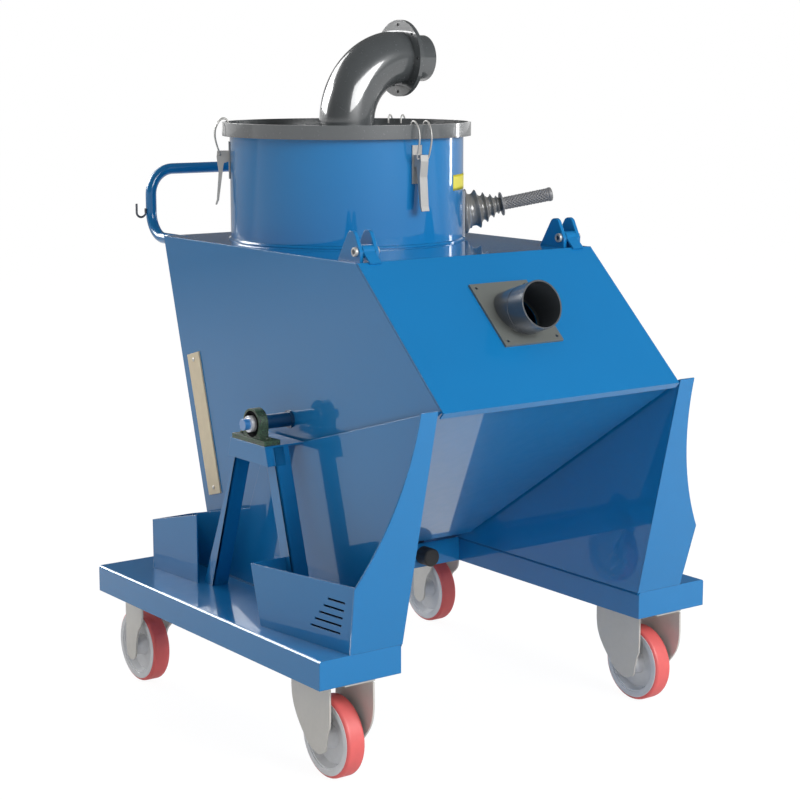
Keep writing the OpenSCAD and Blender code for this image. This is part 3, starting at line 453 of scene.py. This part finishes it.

# %% [markdown]
# ## The shaker's rubber boot
# The hand lever that shakes the filter leaves the drum through a bellows of four shrinking ribs. Ribs could
# be rings stacked on a cone, but rubber flows from crest to valley, so one smooth profile is turned round the
# lever's axis and closed by an inner wall. The lever leaves the round drum at a slant, so the first rows are
# slid along the axis until they meet the plate on the drum all the way round.


# %% Bellows boot
SHAKER = np.array([0.27107, 0.0415, 1.285])
SHAKER_AXIS = np.array([0.8507, -0.4911, 0.1874])
SHAKER_AXIS /= np.linalg.norm(SHAKER_AXIS)
DRUM_R, PLATE_T = 0.313, 0.0063


def bellows(t, r, sides=72, settled=0.034, crowding=0.3):
    """A closed profile turned round the lever's axis. Rows before the settled length are slid along the axis:
    at the foot to the plate's face, which falls back as the square of the way sideways over the drum's
    diameter and leans by the axis' own slope, and less and less up to the settled length. Rows at the foot
    keep the crowding share of their spacing."""
    axis, across, over = frame_of(SHAKER_AXIS)
    angle = np.arange(sides) * 2 * np.pi / sides
    sideways, up = r[:, None] * np.cos(angle), r[:, None] * np.sin(angle)
    slope = math.asin(axis[2])
    face = (PLATE_T - sideways**2 / (2 * DRUM_R) + up * math.sin(slope)) / math.cos(slope)
    share = np.clip((settled - t) / (settled - t.min()), 0.0, 1.0)[:, None]
    along = t[:, None] + share * (face + (t - t.min())[:, None] * crowding - t[:, None])
    grid = SHAKER + along[..., None] * axis + sideways[..., None] * across + up[..., None] * over
    return skin(grid, along=True)


rib_t = np.array([8.0, 9.5, 14.0, 17.5, 21.0, 27.0, 33.0, 38.5, 42.0, 44.0, 47.0, 53.0, 59.0, 63.5,
                  65.2, 68.0, 74.0, 79.5, 82.5, 84.2, 86.5, 91.0, 95.0, 97.5, 99.0, 101.0, 105.0, 107.5]) / 1000
rib_r = np.array([55.0, 58.5, 59.5, 58.5, 50.0, 44.0, 44.0, 49.0, 52.0, 51.4, 42.0, 34.0, 34.0, 40.5,
                  40.0, 33.0, 26.0, 27.0, 32.0, 31.6, 26.0, 20.5, 21.5, 25.0, 24.6, 21.0, 18.5, 18.0]) / 1000
WALL_T, BORE_R = 0.004, 0.0088
boot_line = through(np.stack([rib_t, rib_r], -1), 160)
boot_inner = np.stack([boot_line[::-1, 0], np.maximum(boot_line[::-1, 1] - WALL_T, BORE_R)], -1)
boot_loop = np.vstack([boot_line, boot_inner])
boot = piece("boot_bellows", bellows(boot_loop[:, 0], boot_loop[:, 1]), grey_rubber,
             stands_for="shaker_boot", sharp=60)
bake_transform(boot)

# %% [markdown]
# ## The lever and its knurled grip
# A rod comes out of the boot and ends in a moulded grip with a diamond pattern. The pattern is deep enough to
# be felt, so it is in the mesh: two families of ridges that wind opposite ways round the grip, each a cosine of
# angle and length, of which the lower counts. Near the ends they fade to a smooth collar.


# %% Lever with a knurled grip
def knurled(start, axis, t0, t1, r0, r1, rows=220, sides=136, turns=12, pitches=13, depth=0.0026,
            rise=22, collar=0.6):
    """A cone from r0 to r1 with a diamond knurl: the lower of two ridge families that wind opposite ways. At
    both ends the knurl is nil for collar / rise of the length and then grows to its depth over 1 / rise."""
    axis, across, over = frame_of(axis)
    s = np.linspace(0.0, 1.0, rows)
    angle = np.arange(sides) * 2 * np.pi / sides
    twist = 2 * np.pi * pitches * s[:, None]
    left = np.cos(turns * angle[None] + twist)
    right = np.cos(turns * angle[None] - twist)
    fade = np.clip(np.minimum(s, 1 - s) * rise - collar, 0, 1)[:, None]
    r = (r0 + (r1 - r0) * s)[:, None] + depth * fade * (np.minimum(left, right) * 0.5 - 0.2)
    out = np.cos(angle)[:, None] * across + np.sin(angle)[:, None] * over
    grid = np.asarray(start) + (t0 + (t1 - t0) * s)[:, None, None] * axis + r[..., None] * out[None]
    return skin(grid, cap=True)


rod = turned(SHAKER, SHAKER_AXIS, np.array([24, 26, 108]) / 1000, np.array([6.5, 8, 8]) / 1000, 32)
washer = turned(SHAKER, SHAKER_AXIS, np.array([108.2, 109, 112, 112.8]) / 1000,
                np.array([30.5, 32, 32, 31]) / 1000, 48)
grip = knurled(SHAKER, SHAKER_AXIS, 0.1128, 0.240, 0.0170, 0.0178)
flare = turned(SHAKER, SHAKER_AXIS, np.array([239.0, 240.0, 242, 247, 250, 252]) / 1000,
               np.array([16.0, 18.0, 19, 19, 17.6, 13.0]) / 1000, 48)
piece("lever_and_grip", join(rod, washer, grip, flare), grip_plastic, "shaker_lever",
      "shaker_lever")

# %% [markdown]
# ## Wire bails of the drum clips
# Each toggle clip pulls a loop of spring wire that hooks over the lid's rim. The wire bows outwards between
# the hook and the lever because it is sprung. A path through a few measured points is carried round each
# clip's place on the drum.

# %% Wire bails
DRUM_AXIS = np.array([0.0, 0.198])
RIM_TOP = 1.529
CLIP_TURNS = np.radians([270.0, 30.0, 150.0])
WIRE_R = 0.0023
strand = np.array([[317.5, 19.5, -13.0], [317.0, 19.5, -4.0], [319.0, 19.5, 4.5], [325.5, 19.5, 9.0],
                   [334.0, 19.5, 8.0], [343.0, 19.5, -1.0], [350.5, 19.0, -18.0], [352.0, 19.0, -38.0],
                   [347.5, 19.0, -60.0], [341.5, 18.8, -78.0], [339.6, 17.0, -85.0],
                   [339.5, 12.0, -86.0]]) / 1000
bail_path = through(np.vstack([strand, strand[::-1] * [1, -1, 1]]), 170)
bails = []
for turn in CLIP_TURNS:
    spread = np.array([[math.cos(turn), math.sin(turn)], [-math.sin(turn), math.cos(turn)]])
    placed = np.column_stack([bail_path[:, :2] @ spread + DRUM_AXIS, bail_path[:, 2] + RIM_TOP])
    bails.append(wire(placed, WIRE_R))
piece("bail_wires", join(*bails), bright_steel, "hopper", "clip_bails")

# %% [markdown]
# ## Bolts of the pillow blocks
# Hex bolts hold the pillow blocks to their seats. They are too small to be worth a CAD solid each, and they
# are painted over with the castings.

# %% Bolts
BLOCK_X, PIVOT_Y, PIVOT_Z, SEAT_Z = 0.468, -0.075, 0.8, 0.755
BOLT_SET, FOOT_H, BOLT_SIZE = 0.061, 0.0122, 0.008
block_bolts = [hex_bolt((side * BLOCK_X, PIVOT_Y + end * BOLT_SET, SEAT_Z + FOOT_H), (0, 0, 1), BOLT_SIZE)
               for side in (-1, 1) for end in (-1, 1)]
piece("block_bolts", join(*block_bolts), green_casting, "chassis", sharp=25)

# %% [markdown]
# ## Hinge pin heads
# Each hinge turns on a socket-head pin whose bright head shows on the ear's outer face. The head is a turned
# cup: up the side, over a chamfer and down into the socket, a shallow hexagon whose dark floor is painted
# shade.

# %% Hinge pin heads
ears_low, ears_high = (np.asarray(corner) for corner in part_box("hinge_ears"))
HINGE_Y, HINGE_Z, EAR_SPAN, PROUD = -0.34, 1.241, 0.066, 0.0004
head_t = np.array([-5.2, -5.2, 0.0, 1.2, 1.6, 1.4, -0.1, -0.1]) / 1000
head_r = np.array([9.0, 11.4, 11.4, 10.6, 7.6, 6.4, 6.0, 7.0]) / 1000
socket_t, socket_r = np.array([-0.3, 0.15]) / 1000, np.array([6.3, 6.3]) / 1000
heads, socket_shades = [], []
left_x, right_x = ears_low[0], ears_high[0]
for x, way in ((left_x, -1), (-left_x - EAR_SPAN, -1), (left_x + EAR_SPAN, 1), (right_x, 1)):
    face = (x + way * PROUD, HINGE_Y, HINGE_Z)
    heads.append(turned(face, (way, 0, 0), head_t, head_r, 48, loop=True))
    # A dark steel hexagon in the socket is painted shade for the deep hole of a real socket.
    socket_shades.append(turned(face, (way, 0, 0), socket_t, socket_r, 6))
piece("pin_heads", join(*heads), bright_steel, "hopper")
piece("pin_socket_shades", join(*socket_shades), dark_steel, "hopper")

# %% [markdown]
# ## Bearing seals
# Between the casting and the bright inner ring sits a black rubber seal, a dished washer whose lip laps over
# the casting's face. A ring profile turned about the tipping axis gives it. The bright ring turns with the
# hopper, the seal stays.

# %% Bearing seals
SEAL_X = 0.4762
seal_t = np.array([0, 5.0, 5.0, 6.0, 6.0, 2.0, 0]) / 1000
seal_r = np.array([29.2, 29.2, 33.0, 32.4, 27.4, 21.4, 20.8]) / 1000
seals = [turned((side * SEAL_X, PIVOT_Y, PIVOT_Z), (side, 0, 0), seal_t, seal_r, 64, loop=True)
         for side in (-1, 1)]
piece("bearing_seals", join(*seals), seal_black_and_slot_shade, "chassis")

# %% [markdown]
# ## The seam at the drum's foot
# The drum is sealed to the deck by a neat fillet that catches a line of light. A small concave profile, a
# quarter circle seen from outside, is turned round the drum's axis.

# %% Seam at the drum's foot
DECK_Z, SEAM, CLEAR = 1.217, 0.0065, 0.0002
bend = np.linspace(np.pi / 2, 0.0, 9)
seam_r = np.concatenate([DRUM_R + SEAM * (1 - np.cos(bend)), [DRUM_R + CLEAR]])
seam_z = np.concatenate([SEAM * (1 - np.sin(bend)), [0.0]]) + CLEAR
seam = turned((*DRUM_AXIS, DECK_Z), (0, 0, 1), seam_z, seam_r, 180, loop=True)
piece("drum_seam", seam, blue_paint, "hopper", sharp=50)

# %% [markdown]
# ## Weld along the panels' feet
# Each side panel is welded to its tray along the whole foot. The bead is a wire that lies in the groove
# between the panel and the tray's rounded fold, with a faint ripple from the welder's steps.

# %% Weld along the panels' feet
WELD_X, WELD_Z, BEAD_R, RIPPLE, STEP = 0.3822, 0.3318, 0.0052, 0.0004, 0.009
weld_y = np.linspace(-0.566, 0.396, 400)
bead = BEAD_R + RIPPLE * np.cos(weld_y * 2 * np.pi / STEP)
flat_line = np.ones_like(weld_y)
welds = [wire(np.stack([side * WELD_X * flat_line, weld_y, WELD_Z * flat_line], -1), bead)
         for side in (-1, 1)]
# The weld's darker matt blue is painted shade in the groove between panel and tray.
piece("foot_welds", join(*welds), weld_blue_painted_shade, "chassis")

# %% [markdown]
# ## Dark backs behind the pockets' slots
# The slots in the front pockets look into a space in shadow, so a black plate stands close behind each wall as
# painted shade. A flat plate is an outline carried a little way along X. The walls flare outwards by a small
# turn about Z, and the plate takes the same turn. The one on the other side is its mirror image, with its faces
# turned round.


# %% Painted shade behind the pockets' slots
def plate(side, x0, x1, outline):
    """A flat plate square to X: an outline of (y, z), anticlockwise seen from +X, carried from x0 to x1."""
    rows = [np.column_stack([np.full(len(outline), x), outline]) for x in sorted((side * x0, side * x1))]
    return skin(np.stack(rows), cap=True)


TRAY_Z, BACK_FAR, BACK_NEAR = 0.334, -0.003, -0.0015
WALL_AT, WALL_TURN = np.array([0.523, -0.5649, TRAY_Z]), math.atan2(38.0, 325.0)
slot_area = np.array([(29, 36), (146, 36), (80, 134), (6, 134)]) / 1000
flare_turn = np.array([[math.cos(WALL_TURN), -math.sin(WALL_TURN), 0.0],
                       [math.sin(WALL_TURN), math.cos(WALL_TURN), 0.0], [0.0, 0.0, 1.0]])
verts, faces = plate(1, BACK_FAR, BACK_NEAR, slot_area)
verts = verts @ flare_turn + WALL_AT
mirrored_back = (verts * [-1, 1, 1], [face[::-1] for face in faces])
# The black plates are painted shade: behind the slots there is only shadow.
piece("slot_shade_plates", join((verts, faces), mirrored_back), seal_black_and_slot_shade, "chassis")

# %% [markdown]
# ## Bearing stands
# Each bearing sits on a folded seat with two angle legs, and only the seat reaches back to the side panel: the
# legs are shallow, so the panel shows behind them. All of it is flat sheet. The legs' edges run straight from
# the deck to the seat, so a share of the height finds where a fold crosses them.


# %% Bearing stands
SHEET, BAY_X, SEAT_X, LEG_X = 0.004, 0.381, 0.493, 0.470
LEG_DEEP, FOLD_DEEP, SKIRT_H, FLANGE_W = 0.045, 0.053, 0.048, 0.044
SEAT_Y, SEAT_LEN, LEG_FOOT = -0.156, 0.162, (-0.2735, 0.1435)


def bearing_stand(side):
    """A seat plate and its skirt, and for each leg the seat's end fold, a web and a flange. Each is a flat
    sheet between two heights, from one pair of y values at the lower to another pair at the upper."""
    low = SEAT_Z - SKIRT_H
    under = SEAT_Z - SHEET
    seat_end = SEAT_Y + SEAT_LEN
    tops = (SEAT_Y, seat_end - SHEET)
    folds = [foot + (top - foot) * (low - TRAY_Z) / (under - TRAY_Z) for foot, top in zip(LEG_FOOT, tops)]

    def sheet(x0, x1, y_low, z_low, y_high, z_high):
        return plate(side, x0, x1, [(y_low[0], z_low), (y_low[1], z_low),
                                    (y_high[1], z_high), (y_high[0], z_high)])

    seat = (SEAT_Y, seat_end)
    sheets = [sheet(BAY_X, SEAT_X, seat, under, seat, SEAT_Z),
              sheet(SEAT_X - SHEET, SEAT_X, (folds[0], folds[1] + SHEET), low, seat, under)]
    for foot, top, fold, wide in zip(LEG_FOOT, tops, folds, (FLANGE_W, SHEET)):
        leg_top = (top, top + SHEET)
        sheets += [sheet(SEAT_X - FOLD_DEEP, SEAT_X - SHEET, (fold, fold + SHEET), low, leg_top, under),
                   sheet(LEG_X - LEG_DEEP, LEG_X, (foot, foot + SHEET), TRAY_Z, leg_top, under),
                   sheet(LEG_X - SHEET, LEG_X, (foot, foot + FLANGE_W), TRAY_Z, (top, top + wide), under)]
    return join(*sheets)


for hand, side in (("left", -1), ("right", 1)):
    piece(hand + "_stand", bearing_stand(side), blue_paint, "chassis", hand + "_bearing_stand")

# %% [markdown]
# ## Caster forks and rim flanges
# A pressed fork leg is wide under its plate and curves down to the axle, and its wide side bends in towards
# the wheel, which gives it a soft gradient that a flat plate lacks. Each leg is ruled between a wide and a
# narrow edge. On the front casters the legs on the -X side reach back and those on the +X side forwards. The
# rims end in a white flange that covers most of the tyre's side.


# %% Caster forks and rim flanges
FORK_EDGES = {"front": ([(8, -37), (34, -26), (73, 10), (106, 52), (118, 92)],
                        [(-4, -37), (-26, -24), (-31, 0), (-37, 24), (-46, 52)]),
              "rear": ([(8, -37), (26, -22), (31, 12), (42, 48), (66, 84)],
                       [(-4, -37), (-20, -28), (-26, -8), (-26, 20), (-26, 52)])}
FORK_REACH = {"front": {-1: (1, 1.12), 1: (-1, 1.03)}, "rear": {-1: (-1, 0.92), 1: (-1, 1.4)}}
HEAD_ENDS = {"front": (-112.0, 118.0), "rear": (-66.0, 26.0)}
LEG_IN, LEG_OUT, HEAD_T = 38.0, 43.0, 6.0
BEND, BEND_FROM = 0.0009, 25.0
axle_t, axle_r = np.array([-40.0, 40.0]) / 1000, np.array([10, 10]) / 1000
flange_t = np.array([22.6, 22.6, 25.4, 25.9, 25.9, 25.4, 25.3]) / 1000
flange_r = np.array([79.0, 92.6, 92.6, 91.8, 89.0, 87.5, 79.0]) / 1000


def fork_leg(hub, side, way, reach, edges, top):
    """One pressed leg, in mm from the hub: ruled between a wide and a narrow edge, its face bent in towards the
    wheel by the square of the distance past the bend's start. way is +1 where the wide edge points to +Y, and
    reach stretches that edge."""
    wide, narrow = (through([*edge, (edge[-1][0], top)], 48) for edge in edges)
    wide = wide * [reach, 1.0]
    share = np.linspace(0.0, 1.0, 16)[None, :, None]
    flat = narrow[:, None] + share * (wide - narrow)[:, None]
    flat = flat[:, ::way]
    bend = BEND * np.maximum(flat[..., 0] - BEND_FROM, 0.0)**2
    sheets = [np.stack([side * (x - bend), way * flat[..., 0], flat[..., 1]], -1) for x in (LEG_OUT, LEG_IN)]
    high, low = sheets[::side]
    return skin(np.concatenate([high, low[:, ::-1]], 1) / 1000 + hub, cap=True)


for corner in ("front_left", "front_right", "rear_left", "rear_right"):
    hub = np.mean(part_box(corner + "_rim"), axis=0)
    top = (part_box(corner + "_fork")[1][2] - hub[2]) * 1000 - HEAD_T
    row = corner.split("_")[0]
    legs = [fork_leg(hub, side, way, reach, FORK_EDGES[row], top)
            for side, (way, reach) in FORK_REACH[row].items()]
    first, last = HEAD_ENDS[row]
    plan = np.array([(-LEG_OUT, first), (LEG_OUT, first), (LEG_OUT, last), (-LEG_OUT, last)])
    head = np.stack([np.column_stack([plan, np.full(4, z)]) for z in (top, top + HEAD_T)]) / 1000 + hub
    axle = turned(hub, (1, 0, 0), axle_t, axle_r, 24)
    piece(corner + "_legs", join(*legs, skin(head, cap=True), axle), zinc_steel, "chassis",
          corner + "_fork")
    flanges = [turned(hub, (side, 0, 0), flange_t, flange_r, 96, loop=True) for side in (-1, 1)]
    piece(corner + "_flanges", join(*flanges), white_plastic, corner + "_wheel")

# %% [markdown]
# ## Screws of the level strip
# The pale strip on the hopper's side is held by a pan-head screw at each end. A dome is turned about X and
# sunk a little into the strip.

# %% Level strip screws
STRIP_FACE_X, SCREWS_YZ = -0.371, ((0.2993, 0.5571), (0.3937, 0.8932))
dome_t = np.array([-0.5, 0.6, 1.6, 2.2, 2.4]) / 1000
dome_r = np.array([5.2, 5.2, 4.4, 2.6, 0.6]) / 1000
strip_screws = [turned((STRIP_FACE_X, y, z), (-1, 0, 0), dome_t, dome_r, 32) for y, z in SCREWS_YZ]
piece("strip_screws", join(*strip_screws), zinc_steel, "hopper")

# %% [markdown]
# ## A plain yellow patch on the drum
# A plain vinyl patch sits on the drum beside the boot. It is a rectangle in angle and height on a slightly
# larger cylinder, and Solidify gives it the thickness of vinyl.

# %% Yellow patch
PATCH_R = DRUM_R + 0.0003
patch_a = np.radians(np.linspace(-62.0, -38.0, 40))
patch_z = np.linspace(1.353, 1.394, 6)
height_grid, angle_grid = np.meshgrid(patch_z, patch_a, indexing="ij")
patch_grid = np.stack([DRUM_AXIS[0] + PATCH_R * np.cos(angle_grid),
                       DRUM_AXIS[1] + PATCH_R * np.sin(angle_grid), height_grid], -1)
patch = piece("yellow_patch", skin(patch_grid, around=False), yellow_vinyl, "hopper")
thick = patch.modifiers.new("vinyl", "SOLIDIFY")
thick.thickness = 0.0004
thick.offset = 1.0

# %% [markdown]
# ## The studio
# The photograph stands on pure white, and the lacquer mirrors a bright room near the horizon and a darker
# one overhead. The world does both: rays that the camera, a mirror or glass sends see white low down and
# grey above, and everything else sees an even soft light. The floor is white to the eye but still takes a
# little of the object's shadow. In a mirror it is darker close under the object, which keeps the slope from
# washing out, and far behind it, which keeps the drum's edges blue.


# %% World and floor
WHITE, BLACK = (1.0, 1.0, 1.0), (0.0, 0.0, 0.0)
SOFT_LIGHT = 0.5
VIEW_X, VIEW_Y = 0.58, 0.8


def studio_world():
    world = bpy.data.worlds.new("studio")
    bpy.context.scene.world = world
    world.use_nodes = True
    tree = world.node_tree
    tree.nodes.clear()
    path = tree.nodes.new("ShaderNodeLightPath")
    seen = Value(tree, path.outputs["Is Camera Ray"])
    mirrored = Value(tree, path.outputs["Is Glossy Ray"])
    glass = Value(tree, path.outputs["Is Transmission Ray"])
    spot = tree.nodes.new("ShaderNodeTexCoord")
    split = tree.nodes.new("ShaderNodeSeparateXYZ")
    tree.links.new(spot.outputs["Generated"], split.inputs[0])
    height = Value(tree, split.outputs[2])
    ramp = tree.nodes.new("ShaderNodeMapRange")
    ramp.interpolation_type = "SMOOTHSTEP"
    plug(tree, ramp.inputs[0], height)
    for key, number in (("From Min", 0.0), ("From Max", 0.10), ("To Min", 1.0), ("To Max", 0.10)):
        plug(tree, ramp.inputs[key], number)
    room = Value(tree, ramp.outputs[0])
    bounce = mirrored.math("MAXIMUM", glass)
    strength = seen + (1.0 - seen) * (bounce * room + (1.0 - bounce) * SOFT_LIGHT)
    back = tree.nodes.new("ShaderNodeBackground")
    plug(tree, back.inputs["Color"], WHITE)
    plug(tree, back.inputs["Strength"], strength)
    out = tree.nodes.new("ShaderNodeOutputWorld")
    tree.links.new(back.outputs[0], out.inputs[0])


def studio_floor():
    r = Recipe("floor_white", roughness=1.0, specular_ior_level=0.0)
    seen = r.node("LightPath", out="Is Camera Ray")
    glossy = r.node("LightPath", out="Is Glossy Ray")
    r.set(**{"Base Color": (0.82, 0.82, 0.82)})
    away = r.node("VectorMath", {"operation": "LENGTH"}, {0: r.place}, out="Value")
    under = r.node("MapRange", None, {"Value": away, "From Min": 0.8, "From Max": 2.0, "To Min": 0.6,
                                      "To Max": 0.96})
    beyond = r.axis("X") * VIEW_X + r.axis("Y") * VIEW_Y
    behind = r.node("MapRange", None, {"Value": beyond, "From Min": 2.2, "From Max": 4.6, "To Min": 1.0,
                                       "To Max": 0.4})
    shine = r.mix(under * behind, BLACK, WHITE)
    glow = r.node("Emission", None, {"Color": r.mix(seen, shine, WHITE), "Strength": 0.95})
    faint = r.node("BsdfDiffuse", None, {"Color": (0.1, 0.1, 0.1)})
    shown = r.node("AddShader", None, {0: glow, 1: faint})
    real = Value(r.tree, r.shader.outputs[0])
    both = r.node("MixShader", None, {0: seen.math("MAXIMUM", glossy), 1: real, 2: shown})
    plug(r.tree, r.output.inputs[0], both)
    side = np.linspace(-40.0, 40.0, 3)
    y, x = np.meshgrid(side, side, indexing="ij")
    verts, faces = skin(np.stack([x, y, np.zeros_like(x)], -1), around=False)
    mesh = bpy.data.meshes.new("floor")
    mesh.from_pydata(verts.tolist(), [], faces)
    mesh.materials.append(r.material)
    ground = bpy.data.objects.new("floor", mesh)
    bpy.context.collection.objects.link(ground)


studio_world()
studio_floor()
print("world and floor set")

# %% [markdown]
# ## Lamps
# The flap and the front posts are the brightest faces, so the main soft box hangs in front and a little to
# the right, where it also throws the clips' shadows to the left. A tall narrow box on the right draws the
# streak down the drum, and a wide one high up behind lights the tops. Two more boxes are only there to be
# mirrored: a wide one in front makes the broad highlight on the elbow, and one behind on the left draws the
# light lines along the folded edges. They are hidden from matte surfaces, so they add gloss without flooding
# the colours.


# %% Soft boxes
def soft_box(name, at, target, width, height, power, lights_matte=True):
    lamp = bpy.data.lights.new(name, "AREA")
    lamp.shape = "RECTANGLE"
    lamp.size, lamp.size_y = width, height
    lamp.energy = power
    box = bpy.data.objects.new(name, lamp)
    back = np.asarray(at, float) - np.asarray(target, float)
    back /= np.linalg.norm(back)
    box.location = at
    box.rotation_euler = (math.acos(back[2]), 0.0, math.atan2(back[0], -back[1]))
    box.visible_diffuse = lights_matte
    bpy.context.collection.objects.link(box)


soft_box("front_box", (0.9, -5.2, 3.2), (0.0, 0.0, 0.9), 2.4, 1.8, 206.0)
soft_box("right_box", (5.4, -0.2, 2.2), (0.0, 0.2, 1.2), 0.45, 2.4, 40.0)
soft_box("back_box", (-1.2, 5.6, 4.6), (0.0, 0.2, 0.8), 4.0, 2.0, 110.0)
soft_box("front_mirror", (-0.3, -5.2, 3.4), (0.0, 0.2, 1.6), 4.0, 2.4, 330.0, False)
soft_box("edge_mirror", (-3.0, 5.4, 3.6), (-0.5, 0.0, 0.4), 5.0, 3.0, 700.0, False)
print("lamps: 5")
